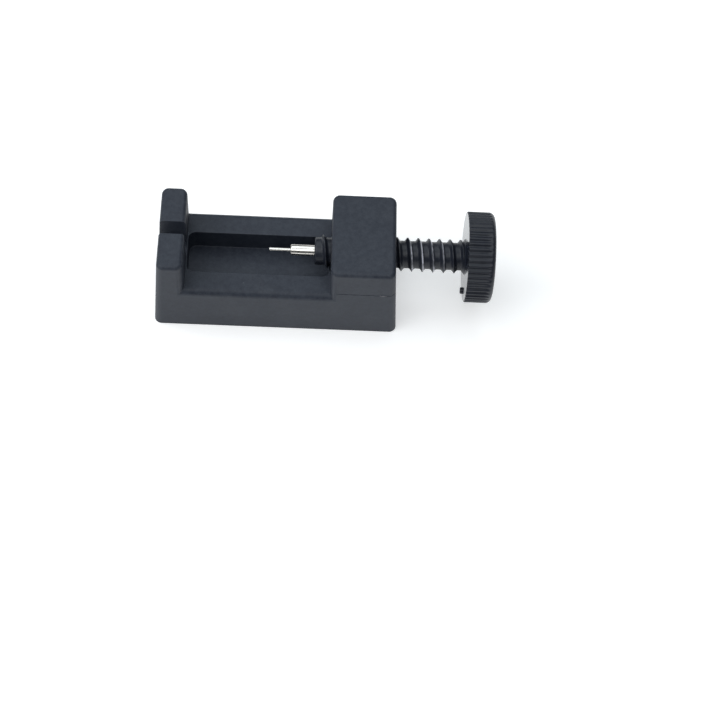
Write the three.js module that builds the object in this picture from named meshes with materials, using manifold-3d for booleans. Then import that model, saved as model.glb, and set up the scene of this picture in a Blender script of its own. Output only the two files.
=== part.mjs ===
// Bracelet pin remover: a moulded bed that holds a watch bracelet between a jaw and a threaded block,
// with a thumb screw that drives a thin steel pin through the bracelet's links.
//
// Frame, in millimetres: +X runs along the screw towards its knob, +Z is up, and the origin is the
// middle of the face that the bed stands on.

import * as THREE from 'three';
import { mergeVertices } from 'three/addons/utils/BufferGeometryUtils.js';
import Module from 'manifold-3d';

const wasm = await Module();
wasm.setup();

// Bed moulding
const BED_LENGTH = 58;
const BED_DEPTH = 23;
const BED_HEIGHT = 25;
const END_DRAFT = THREE.MathUtils.degToRad(3.4);
const SIDE_DRAFT = THREE.MathUtils.degToRad(0.65);
const CORNER_RADIUS = 1.7;
const TOP_ROUND = 1;
const RAIL_HEIGHT = 14.75;
const RAIL_ROUND = 1.7;
const JAW_FACE_X = -21.55;
const BLOCK_FACE_X = 12.6;
const CHANNEL_WIDTH = 10.8;
const CHANNEL_FLOOR = 8.7;
const CHANNEL_ROUND = 1.7;
const NOTCH_WIDTH = 3.3;

// Cored underside
const POCKET_DEPTH = 3.5;
const POCKET_ROUND = 0.8;
const POCKET_COLUMNS = 6;
const POCKET_ROWS = 2;
const RIB_WIDTH = 1.6;
const END_WALL = 2.4;
const SIDE_WALL = 3;

// Thumb screw: a right-handed single-start thread and a hollow knurled knob, moulded as one
const AXIS_HEIGHT = 17.2;
const PITCH = 2.5;
const CREST_RADIUS = 4;
const ROOT_RADIUS = 3.25;
const RIDGE_BASE = 1.05;
const RIDGE_TIP = 0.25;
const THREAD_PHASE = 0.3;
const ROD_TIP_X = 8.65;
const ROD_TIP_RADIUS = 2.8;
const LEAD_IN_LENGTH = 1.2;
const LEAD_IN_RADIUS = 3.55;
const FULL_THREAD_LENGTH = 3;
const KNOB_INNER_X = 44.25;
const KNOB_LENGTH = 6.4;
const KNOB_RADIUS = 10.7;
const KNURL_DEPTH = 0.35;
const KNURL_COUNT = 50;
const KNURL_SHARES = { groove: 0.1, landStart: 0.35, landEnd: 0.75 };
const KNOB_ROOT_LENGTH = 0.9;
const KNOB_ROOT_RADIUS = 4.35;
const KNOB_CHAMFER = 0.4;
const RIM_ROUND = 1.2;
const RIM_SHOULDER = 0.35;
const CUP_RADIUS = 8.2;
const CUP_DEPTH = 4.7;
const CUP_FLOOR_CHAMFER = 1;
const CUP_LIP_CHAMFER = 0.5;

// Steel pin holder and its drive pin
const HOLDER_RADIUS = 1.35;
const HOLDER_TIP_X = 3;
const HOLDER_END_X = 13.5;
const HOLDER_CHAMFER = 0.45;
const PIN_RADIUS = 0.4;
const PIN_TIP_X = -2;
const PIN_END_X = 6.5;
const PIN_CHAMFER = 0.1;

// Clearances and facets
const THREAD_GAP = 0.3;
const SOCKET_GAP = 0.15;
const SOCKET_END_GAP = 0.3;
const SOCKET_CONE = 0.6;
const PIN_GAP = 0.08;
const BORE_REACH = 6;
const CREST_ALLOWANCE = 0.1;
const TURN_FACETS = 24;
const CORNER_FACETS = 4;
const OVERRUN = 2;
const HAIR = 0.01;
const MERGE_DISTANCE = 1e-5;

/** Turn a closed geometry into a solid that can be joined and cut. */
function solidOf(geometry) {
  geometry.deleteAttribute('normal');
  geometry.deleteAttribute('uv');
  const merged = mergeVertices(geometry, MERGE_DISTANCE);
  return new wasm.Manifold(new wasm.Mesh({
    numProp: 3,
    vertProperties: new Float32Array(merged.attributes.position.array),
    triVerts: new Uint32Array(merged.index.array),
  }));
}

/** Turn a solid back into a three.js geometry. */
function geometryOf(solid) {
  const mesh = solid.getMesh();
  const geometry = new THREE.BufferGeometry();
  geometry.setAttribute('position', new THREE.BufferAttribute(mesh.vertProperties, 3));
  geometry.setIndex(new THREE.BufferAttribute(mesh.triVerts, 1));
  geometry.computeVertexNormals();
  return geometry;
}

/** Rectangle with round corners, centred on (x, y). */
function roundedRectangle(x, y, width, depth, radius) {
  const [left, right] = [x - width / 2, x + width / 2];
  const [front, back] = [y - depth / 2, y + depth / 2];
  const shape = new THREE.Shape();
  shape.moveTo(left + radius, front);
  shape.absarc(right - radius, front + radius, radius, -Math.PI / 2, 0, false);
  shape.absarc(right - radius, back - radius, radius, 0, Math.PI / 2, false);
  shape.absarc(left + radius, back - radius, radius, Math.PI / 2, Math.PI, false);
  shape.absarc(left + radius, front + radius, radius, Math.PI, 1.5 * Math.PI, false);
  return shape;
}

/** Extrude a plan (x, y) from z = low to z = high. */
function standing(shape, low, high) {
  const geometry = new THREE.ExtrudeGeometry(shape, {
    depth: high - low, bevelEnabled: false, curveSegments: CORNER_FACETS,
  });
  return geometry.translate(0, 0, low);
}

/** Extrude a front view (x, z) through the bed from y = low to y = high. */
function through(shape, low, high) {
  return standing(shape, -high, -low).rotateX(Math.PI / 2);
}

/** Extrude an end view (y, z) along the bed from x = low to x = high. */
function along(shape, low, high) {
  return standing(shape, low, high).rotateX(Math.PI / 2).rotateZ(Math.PI / 2);
}

/** Turn a profile of [x, radius] points about the screw's axis. */
function turned(profile) {
  const points = profile.map(([x, radius]) => new THREE.Vector2(radius, x));
  return new THREE.LatheGeometry(points, TURN_FACETS).rotateZ(-Math.PI / 2);
}

/** Extrude a plan to a height with a round top edge, and lean its front and back faces by their draft. */
function roundTopped(plan, height) {
  const geometry = new THREE.ExtrudeGeometry(plan, {
    depth: height,
    curveSegments: CORNER_FACETS,
    bevelThickness: TOP_ROUND,
    bevelSize: TOP_ROUND,
    bevelOffset: -TOP_ROUND,
    bevelSegments: 3,
  });
  geometry.translate(0, 0, -TOP_ROUND);
  const position = geometry.attributes.position;
  for (let i = 0; i < position.count; i += 1) {
    const lean = (position.getZ(i) * Math.tan(SIDE_DRAFT)) / (BED_DEPTH / 2);
    position.setY(i, position.getY(i) * (1 - lean));
  }
  return geometry;
}

/** Outer form of the moulding: round corners, a round top edge and draft on all four sides. */
function bedEnvelope() {
  const geometry = roundTopped(roundedRectangle(0, 0, BED_LENGTH, BED_DEPTH, CORNER_RADIUS), BED_HEIGHT);
  const position = geometry.attributes.position;
  for (let i = 0; i < position.count; i += 1) {
    const lean = (position.getZ(i) * Math.tan(END_DRAFT)) / (BED_LENGTH / 2);
    position.setX(i, position.getX(i) * (1 - lean));
  }
  return geometry;
}

/**
 * The jaw (end is -1) or the block (end is 1) as a form of its own, a hair wider and taller than the
 * bed, with round edges at the face that looks at the bracelet.
 */
function upright(end) {
  const face = end > 0 ? BLOCK_FACE_X : JAW_FACE_X;
  const middle = face + (end * BED_LENGTH) / 2;
  const plan = roundedRectangle(middle, 0, BED_LENGTH, BED_DEPTH + 2 * HAIR, CORNER_RADIUS);
  return solidOf(roundTopped(plan, BED_HEIGHT + HAIR));
}

/** Waste outside the round outer edge of one rail; side is -1 at the front and 1 at the back. */
function railRounding(side, left, right) {
  const low = RAIL_HEIGHT - RAIL_ROUND;
  const edge = BED_DEPTH / 2 - low * Math.tan(SIDE_DRAFT);
  const shape = new THREE.Shape();
  shape.moveTo(edge - RAIL_ROUND, RAIL_HEIGHT);
  shape.absarc(edge - RAIL_ROUND, low, RAIL_ROUND, Math.PI / 2, 0, true);
  shape.lineTo(edge + OVERRUN, low);
  shape.lineTo(edge + OVERRUN, RAIL_HEIGHT + OVERRUN);
  shape.lineTo(edge - RAIL_ROUND, RAIL_HEIGHT + OVERRUN);
  const solid = solidOf(along(shape, left, right));
  return side > 0 ? solid : solid.mirror([0, 1, 0]);
}

/** All that is cleared above the rails, so that jaw and block stand up with round edges. */
function braceletGap() {
  const reach = CORNER_RADIUS + TOP_ROUND;
  const [left, right] = [JAW_FACE_X - reach, BLOCK_FACE_X + reach];
  const top = BED_HEIGHT + OVERRUN;
  const shape = new THREE.Shape();
  shape.moveTo(left, RAIL_HEIGHT);
  shape.lineTo(right, RAIL_HEIGHT);
  shape.lineTo(right, top);
  shape.lineTo(left, top);
  return solidOf(through(shape, -BED_DEPTH, BED_DEPTH))
    .add(railRounding(-1, left, right))
    .add(railRounding(1, left, right))
    .subtract(upright(-1))
    .subtract(upright(1));
}

/** Lengthwise channel between the two rails. */
function channel() {
  const width = BLOCK_FACE_X - JAW_FACE_X;
  const middle = (BLOCK_FACE_X + JAW_FACE_X) / 2;
  const plan = roundedRectangle(middle, 0, width, CHANNEL_WIDTH, CHANNEL_ROUND);
  return standing(plan, CHANNEL_FLOOR, RAIL_HEIGHT + OVERRUN);
}

/** Round-bottomed notch through the jaw, where a driven-out pin leaves the bracelet. */
function jawNotch() {
  const half = NOTCH_WIDTH / 2;
  const centre = RAIL_HEIGHT + half;
  const shape = new THREE.Shape();
  shape.moveTo(-half, BED_HEIGHT + OVERRUN);
  shape.absarc(0, centre, half, Math.PI, 2 * Math.PI, false);
  shape.lineTo(half, BED_HEIGHT + OVERRUN);
  return along(shape, -BED_LENGTH / 2 - OVERRUN, JAW_FACE_X + OVERRUN);
}

/** Coring pockets in the underside, left between crossing ribs. */
function undersidePockets() {
  const length = (BED_LENGTH - 2 * END_WALL - (POCKET_COLUMNS - 1) * RIB_WIDTH) / POCKET_COLUMNS;
  const depth = (BED_DEPTH - 2 * SIDE_WALL - (POCKET_ROWS - 1) * RIB_WIDTH) / POCKET_ROWS;
  const pockets = [];
  for (let column = 0; column < POCKET_COLUMNS; column += 1) {
    for (let row = 0; row < POCKET_ROWS; row += 1) {
      const x = (column - (POCKET_COLUMNS - 1) / 2) * (length + RIB_WIDTH);
      const y = (row - (POCKET_ROWS - 1) / 2) * (depth + RIB_WIDTH);
      const plan = roundedRectangle(x, y, length, depth, POCKET_ROUND);
      pockets.push(solidOf(standing(plan, -OVERRUN, POCKET_DEPTH)));
    }
  }
  return pockets;
}

/**
 * A helical ridge wound on a core, as one closed solid about the X axis. The ridge's crest passes
 * angle t, measured from +Y towards +Z, at x = THREAD_PHASE + PITCH * (turn + t / 2 pi).
 */
function threadedCore(fromX, toX, gap) {
  const base = RIDGE_BASE / 2 + gap;
  const tip = RIDGE_TIP / 2 + gap;
  const section = [
    [-base, ROOT_RADIUS + gap], [-tip, CREST_RADIUS + gap],
    [tip, CREST_RADIUS + gap], [base, ROOT_RADIUS + gap],
  ];
  const firstTurn = Math.floor((fromX - THREAD_PHASE) / PITCH) - 1;
  const turns = Math.ceil((toX - THREAD_PHASE) / PITCH) + 1 - firstTurn;
  const steps = turns * TURN_FACETS;
  const startX = THREAD_PHASE + firstTurn * PITCH;
  const points = [];
  for (let step = 0; step <= steps; step += 1) {
    const angle = (2 * Math.PI * step) / TURN_FACETS;
    for (const [offset, radius] of section) {
      const x = startX + (PITCH * step) / TURN_FACETS + offset;
      points.push(x, radius * Math.cos(angle), radius * Math.sin(angle));
    }
  }
  const startCentre = points.length / 3;
  points.push(startX, 0, 0);
  const endCentre = startCentre + 1;
  points.push(startX + turns * PITCH, 0, 0);

  const width = section.length;
  const at = (step, column) => step * width + column;
  const faces = [];
  const quad = (a, b, c, d) => faces.push(a, b, c, a, c, d);
  for (let step = 0; step < steps; step += 1) {
    for (let column = 0; column < width - 1; column += 1) {
      quad(at(step, column), at(step + 1, column), at(step + 1, column + 1), at(step, column + 1));
    }
    if (step + TURN_FACETS < steps) {
      const next = step + TURN_FACETS;
      quad(at(step, width - 1), at(step + 1, width - 1), at(next + 1, 0), at(next, 0));
    }
  }
  for (let step = 0; step < TURN_FACETS; step += 1) {
    faces.push(startCentre, at(step + 1, 0), at(step, 0));
    const late = steps - TURN_FACETS + step;
    faces.push(endCentre, at(late, width - 1), at(late + 1, width - 1));
  }
  for (let column = 0; column < width - 1; column += 1) {
    faces.push(startCentre, at(0, column), at(0, column + 1));
    faces.push(endCentre, at(steps, column + 1), at(steps, column));
  }
  faces.push(startCentre, at(0, width - 1), at(TURN_FACETS, 0));
  faces.push(endCentre, at(steps, 0), at(steps - TURN_FACETS, width - 1));

  const geometry = new THREE.BufferGeometry();
  geometry.setAttribute('position', new THREE.Float32BufferAttribute(points, 3));
  geometry.setIndex(faces);
  return solidOf(geometry);
}

/** Body moulding: bed, jaw and threaded block in one. */
function bedMoulding() {
  let solid = solidOf(bedEnvelope());
  const ground = roundedRectangle(0, 0, 2 * BED_LENGTH, 2 * BED_DEPTH, CORNER_RADIUS);
  const wastes = [
    solidOf(standing(ground, -2 * OVERRUN, 0)),
    braceletGap(),
    solidOf(channel()),
    solidOf(jawNotch()),
    ...undersidePockets(),
  ];
  for (const waste of wastes) {
    solid = solid.subtract(waste);
  }
  const boreStart = BLOCK_FACE_X - OVERRUN;
  const boreEnd = BED_LENGTH / 2 + OVERRUN;
  const reach = [[boreStart, 0], [boreStart, BORE_REACH], [boreEnd, BORE_REACH], [boreEnd, 0]];
  const thread = threadedCore(BLOCK_FACE_X, BED_LENGTH / 2, THREAD_GAP).intersect(solidOf(turned(reach)));
  return solid.subtract(thread.translate([0, 0, AXIS_HEIGHT]));
}

/** Threaded rod with a tapered lead-in and a socket for the pin holder. */
function screwRod() {
  const crest = CREST_RADIUS + CREST_ALLOWANCE;
  const rodEnd = KNOB_INNER_X + KNOB_CHAMFER;
  const outline = [
    [ROD_TIP_X, 0], [ROD_TIP_X, ROD_TIP_RADIUS], [ROD_TIP_X + LEAD_IN_LENGTH, LEAD_IN_RADIUS],
    [ROD_TIP_X + FULL_THREAD_LENGTH, crest], [rodEnd, crest], [rodEnd, 0],
  ];
  const socketStart = ROD_TIP_X - OVERRUN;
  const socketEnd = HOLDER_END_X + SOCKET_END_GAP;
  const socketRadius = HOLDER_RADIUS + SOCKET_GAP;
  const socket = [
    [socketStart, 0], [socketStart, socketRadius], [socketEnd, socketRadius], [socketEnd + SOCKET_CONE, 0],
  ];
  return threadedCore(ROD_TIP_X, KNOB_INNER_X, 0).intersect(solidOf(turned(outline)))
    .subtract(solidOf(turned(socket)));
}

/** Star-shaped section (y, z) of the straight knurl: a groove and a flat land for each rib. */
function knurlStar() {
  const land = KNOB_RADIUS + CREST_ALLOWANCE;
  const corners = [];
  for (let rib = 0; rib < KNURL_COUNT; rib += 1) {
    corners.push([rib + KNURL_SHARES.groove, KNOB_RADIUS - KNURL_DEPTH]);
    corners.push([rib + KNURL_SHARES.landStart, land]);
    corners.push([rib + KNURL_SHARES.landEnd, land]);
  }
  return new THREE.Shape(corners.map(([place, radius]) => {
    const angle = (2 * Math.PI * place) / KNURL_COUNT;
    return new THREE.Vector2(radius * Math.cos(angle), radius * Math.sin(angle));
  }));
}

/** Straight-knurled, cup-shaped knob with a thickened root where the rod joins it. */
function screwKnob() {
  const inner = KNOB_INNER_X;
  const outer = KNOB_INNER_X + KNOB_LENGTH;
  const outline = [
    [inner - KNOB_ROOT_LENGTH, 0], [inner - KNOB_ROOT_LENGTH, ROOT_RADIUS + CREST_ALLOWANCE],
    [inner, KNOB_ROOT_RADIUS], [inner, KNOB_RADIUS - KNOB_CHAMFER], [inner + KNOB_CHAMFER, KNOB_RADIUS],
    [outer - RIM_ROUND, KNOB_RADIUS], [outer - RIM_SHOULDER, KNOB_RADIUS - KNOB_CHAMFER],
    [outer, KNOB_RADIUS - RIM_ROUND], [outer, 0],
  ];
  const floor = outer - CUP_DEPTH;
  const cup = [
    [floor, 0], [floor, CUP_RADIUS - CUP_FLOOR_CHAMFER], [floor + CUP_FLOOR_CHAMFER, CUP_RADIUS],
    [outer - CUP_LIP_CHAMFER, CUP_RADIUS], [outer + CUP_LIP_CHAMFER, CUP_RADIUS + 2 * CUP_LIP_CHAMFER],
    [outer + CUP_LIP_CHAMFER, 0],
  ];
  const knurl = solidOf(along(knurlStar(), inner - OVERRUN, outer + OVERRUN));
  return solidOf(turned(outline)).intersect(knurl).subtract(solidOf(turned(cup)));
}

/** Steel holder that stands out of the rod's end and carries the drive pin. */
function pinHolder() {
  const bore = PIN_RADIUS + PIN_GAP;
  const boreEnd = PIN_END_X + PIN_GAP;
  const profile = [
    [HOLDER_TIP_X, bore], [HOLDER_TIP_X, HOLDER_RADIUS - HOLDER_CHAMFER],
    [HOLDER_TIP_X + HOLDER_CHAMFER, HOLDER_RADIUS], [HOLDER_END_X, HOLDER_RADIUS], [HOLDER_END_X, 0],
    [boreEnd, 0], [boreEnd, bore], [HOLDER_TIP_X, bore],
  ];
  return solidOf(turned(profile));
}

/** Thin drive pin with a blunt, slightly chamfered end. */
function drivePin() {
  const profile = [
    [PIN_TIP_X, 0], [PIN_TIP_X, PIN_RADIUS - PIN_CHAMFER], [PIN_TIP_X + PIN_CHAMFER, PIN_RADIUS],
    [PIN_END_X, PIN_RADIUS], [PIN_END_X, 0],
  ];
  return solidOf(turned(profile));
}

const satinBlack = new THREE.MeshStandardMaterial({ color: 0x2c2f34, roughness: 0.6, metalness: 0 });
const glossBlack = new THREE.MeshStandardMaterial({ color: 0x1c1d20, roughness: 0.35, metalness: 0 });
const nickelSteel = new THREE.MeshStandardMaterial({ color: 0xcfcac2, roughness: 0.25, metalness: 1 });
const pinSteel = new THREE.MeshStandardMaterial({ color: 0xd6d4cf, roughness: 0.2, metalness: 1 });

/** Named mesh for one piece; pieces on the screw's axis are lifted to its height. */
function piece(name, solid, material, height = 0) {
  const mesh = new THREE.Mesh(geometryOf(solid), material);
  mesh.name = name;
  mesh.position.z = height;
  return mesh;
}

const tool = new THREE.Group();
tool.add(piece('bed_moulding', bedMoulding(), satinBlack));
tool.add(piece('thumb_screw', screwRod().add(screwKnob()), glossBlack, AXIS_HEIGHT));
tool.add(piece('pin_holder', pinHolder(), nickelSteel, AXIS_HEIGHT));
tool.add(piece('drive_pin', drivePin(), pinSteel, AXIS_HEIGHT));

export default tool;
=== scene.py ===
"""Watch bracelet pin remover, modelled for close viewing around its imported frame.

Meshes are shaped in millimetres about the frame's own axes (+X along the screw towards its knob,
+Z up) and are brought to metres when a piece is finished. Finishes work in metres.
"""

import logging
import math
from collections.abc import Callable, Iterable, Sequence
from dataclasses import dataclass, field
from enum import Enum

import bmesh
import bpy
from mathutils import Matrix, Vector


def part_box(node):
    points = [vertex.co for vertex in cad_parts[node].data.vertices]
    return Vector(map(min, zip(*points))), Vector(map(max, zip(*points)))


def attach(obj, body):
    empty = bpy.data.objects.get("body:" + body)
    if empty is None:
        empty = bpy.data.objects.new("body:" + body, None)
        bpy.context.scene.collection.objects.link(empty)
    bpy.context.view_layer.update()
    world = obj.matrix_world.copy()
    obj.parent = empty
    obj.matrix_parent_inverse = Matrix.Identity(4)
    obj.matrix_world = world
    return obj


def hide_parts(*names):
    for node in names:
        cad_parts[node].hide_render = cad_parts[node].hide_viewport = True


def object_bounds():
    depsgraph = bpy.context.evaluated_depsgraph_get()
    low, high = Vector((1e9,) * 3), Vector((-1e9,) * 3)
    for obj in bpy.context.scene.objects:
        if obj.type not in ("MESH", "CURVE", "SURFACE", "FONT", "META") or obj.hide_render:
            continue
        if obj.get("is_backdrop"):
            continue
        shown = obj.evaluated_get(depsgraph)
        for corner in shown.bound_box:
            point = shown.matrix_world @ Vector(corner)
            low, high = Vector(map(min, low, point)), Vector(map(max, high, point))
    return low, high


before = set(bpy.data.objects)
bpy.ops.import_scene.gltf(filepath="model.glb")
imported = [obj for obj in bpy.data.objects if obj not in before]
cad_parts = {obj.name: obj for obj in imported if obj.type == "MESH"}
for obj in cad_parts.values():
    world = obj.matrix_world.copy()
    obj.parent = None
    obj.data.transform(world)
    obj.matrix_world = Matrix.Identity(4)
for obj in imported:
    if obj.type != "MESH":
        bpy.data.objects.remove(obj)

LOG = logging.getLogger("pin_remover")
MM = 0.001  # a millimetre in metres

# Lengths in millimetres that the modelling needs and the tool doesn't have.
MERGE = 1e-4  # points nearer than this become one
ON_PLANE = 1e-6  # points nearer than this to a cutting plane lie in it
HAIR = 0.006  # how far shapes overlap where they would share a face
OVERRUN = 3.0  # how far a cutting shape stands out of what it cuts

TURNED_SMOOTH = 40.0  # edges of turned pieces up to this many degrees are shaded smooth
MIX_FIRST, MIX_SECOND, MIX_RESULT = 6, 7, 2  # colour sockets of the Mix node

Colour = tuple[float, float, float]
Point = tuple[float, float, float]


class Body(Enum):
    """Moving bodies of the tool."""

    BED = "bed"
    CARRIER = "pin_carrier"
    SCREW = "thumb_screw"


class Axis(Enum):
    """Direction that a flat outline is extruded along, with the matrix that turns Z to it."""

    X = ((0, 0, 1), (1, 0, 0), (0, 1, 0))
    Z = ((1, 0, 0), (0, 1, 0), (0, 0, 1))


class Join(Enum):
    """Ways of combining two closed meshes."""

    CUT = "DIFFERENCE"
    ADD = "UNION"


class Rounding(Enum):
    """What a rounding is given to."""

    EDGES = "EDGES"
    CORNERS = "VERTICES"


# ---------------------------------------------------------------- mesh work


@dataclass(frozen=True)
class Corner:
    """One corner of a flat outline, in millimetres, with the radius that rounds it."""

    u: float
    v: float
    radius: float = 0.0


def round_off(bm: bmesh.types.BMesh, parts: list, radius: float, segments: int,
              kind: Rounding = Rounding.EDGES) -> None:
    """Round edges, or the corners of a flat outline.

    Args:
        bm: The mesh, changed in place.
        parts: The edges or corners.
        radius: Radius of the rounding.
        segments: Steps in it.
        kind: What the parts are.
    """
    bmesh.ops.bevel(bm, geom=parts, offset=radius, offset_type="OFFSET", segments=segments,
                    profile=0.5, affect=kind.value, material=-1)


def outline_face(corners: Sequence[Corner], segments: int) -> bmesh.types.BMesh:
    """Make a flat face in the XY plane and round its corners.

    Args:
        corners: The outline's corners in order.
        segments: Steps in each rounded corner.

    Returns:
        A bmesh with one face.
    """
    bm = bmesh.new()
    verts = [bm.verts.new((corner.u, corner.v, 0.0)) for corner in corners]
    bm.faces.new(verts)
    for radius in sorted({corner.radius for corner in corners} - {0.0}):
        chosen = [vert for vert, corner in zip(verts, corners) if corner.radius == radius]
        round_off(bm, chosen, radius, segments, Rounding.CORNERS)
    bmesh.ops.remove_doubles(bm, verts=bm.verts, dist=MERGE)
    return bm


def prism(corners: Sequence[Corner], low: float, high: float, axis: Axis,
          segments: int = 8) -> bmesh.types.BMesh:
    """Extrude a rounded outline into a closed prism.

    Args:
        corners: Outline in the two directions other than the axis, in their X, Y, Z order.
        low: Where the prism starts along the axis.
        high: Where it ends.
        axis: Direction of extrusion.
        segments: Steps in each rounded corner.

    Returns:
        The closed prism.
    """
    bm = outline_face(corners, segments)
    grown = bmesh.ops.extrude_face_region(bm, geom=bm.faces[:])
    moved = [item for item in grown["geom"] if isinstance(item, bmesh.types.BMVert)]
    bmesh.ops.translate(bm, vec=(0.0, 0.0, high - low), verts=moved)
    bmesh.ops.translate(bm, vec=(0.0, 0.0, low), verts=bm.verts)
    bmesh.ops.transform(bm, matrix=Matrix(axis.value).to_4x4(), verts=bm.verts)
    bmesh.ops.recalc_face_normals(bm, faces=bm.faces)
    return bm


def repeat(bm: bmesh.types.BMesh, count: int, step: Matrix) -> None:
    """Repeat everything in a bmesh, each copy one step further, and merge where copies touch.

    Args:
        bm: The mesh, changed in place.
        count: Copies in all, with the first.
        step: Transform from one copy to the next.
    """
    first = bm.verts[:] + bm.edges[:] + bm.faces[:]
    place = step.copy()
    for _ in range(count - 1):
        copy = bmesh.ops.duplicate(bm, geom=first)
        verts = [item for item in copy["geom"] if isinstance(item, bmesh.types.BMVert)]
        bmesh.ops.transform(bm, matrix=place, verts=verts)
        place = step @ place
    bmesh.ops.remove_doubles(bm, verts=bm.verts, dist=MERGE)


def turned(corners: Sequence[Corner], steps: int, height: float, segments: int = 6,
           sectors: int = 8) -> bmesh.types.BMesh:
    """Turn an outline of (x, radius) corners about the screw's axis into a closed solid.

    Args:
        corners: Closed outline; an edge that lies on the axis is left open and closes by itself.
        steps: Steps in the full turn, a multiple of the sectors.
        height: Height of the axis above the ground.
        segments: Steps in each rounded corner.
        sectors: Equal parts of the turn that are copies of the first one.

    Returns:
        The turned solid.
    """
    bm = outline_face(corners, segments)
    bmesh.ops.delete(bm, geom=bm.faces[:], context="FACES_ONLY")
    on_axis = [edge for edge in bm.edges if all(abs(vert.co.y) < MERGE for vert in edge.verts)]
    bmesh.ops.delete(bm, geom=on_axis, context="EDGES")
    bmesh.ops.spin(bm, geom=bm.verts[:] + bm.edges[:], cent=(0.0, 0.0, 0.0), axis=(1.0, 0.0, 0.0),
                   dvec=(0.0, 0.0, 0.0), angle=math.tau / sectors, steps=steps // sectors,
                   use_merge=False, use_duplicate=False)
    repeat(bm, sectors, Matrix.Rotation(math.tau / sectors, 4, "X"))
    bmesh.ops.recalc_face_normals(bm, faces=bm.faces)
    bmesh.ops.translate(bm, vec=(0.0, 0.0, height), verts=bm.verts)
    return bm


def radius_of(vert: bmesh.types.BMVert, height: float) -> float:
    """Distance of a vertex from the screw's axis."""
    return math.hypot(vert.co.y, vert.co.z - height)


def set_radius(vert: bmesh.types.BMVert, height: float, radius: float) -> None:
    """Move a vertex straight in or out to a distance from the screw's axis.

    Args:
        vert: The vertex, off the axis.
        height: Height of the axis above the ground.
        radius: Its new distance.
    """
    share = radius / radius_of(vert, height)
    vert.co.y *= share
    vert.co.z = height + (vert.co.z - height) * share


def linked_object(name: str, bm: bmesh.types.BMesh) -> bpy.types.Object:
    """Turn a bmesh into an object of the scene and free it.

    Args:
        name: Name of the object and its mesh.
        bm: The shape, used up.

    Returns:
        The object.
    """
    mesh = bpy.data.meshes.new(name)
    bm.to_mesh(mesh)
    bm.free()
    made = bpy.data.objects.new(name, mesh)
    bpy.context.scene.collection.objects.link(made)
    return made


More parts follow.
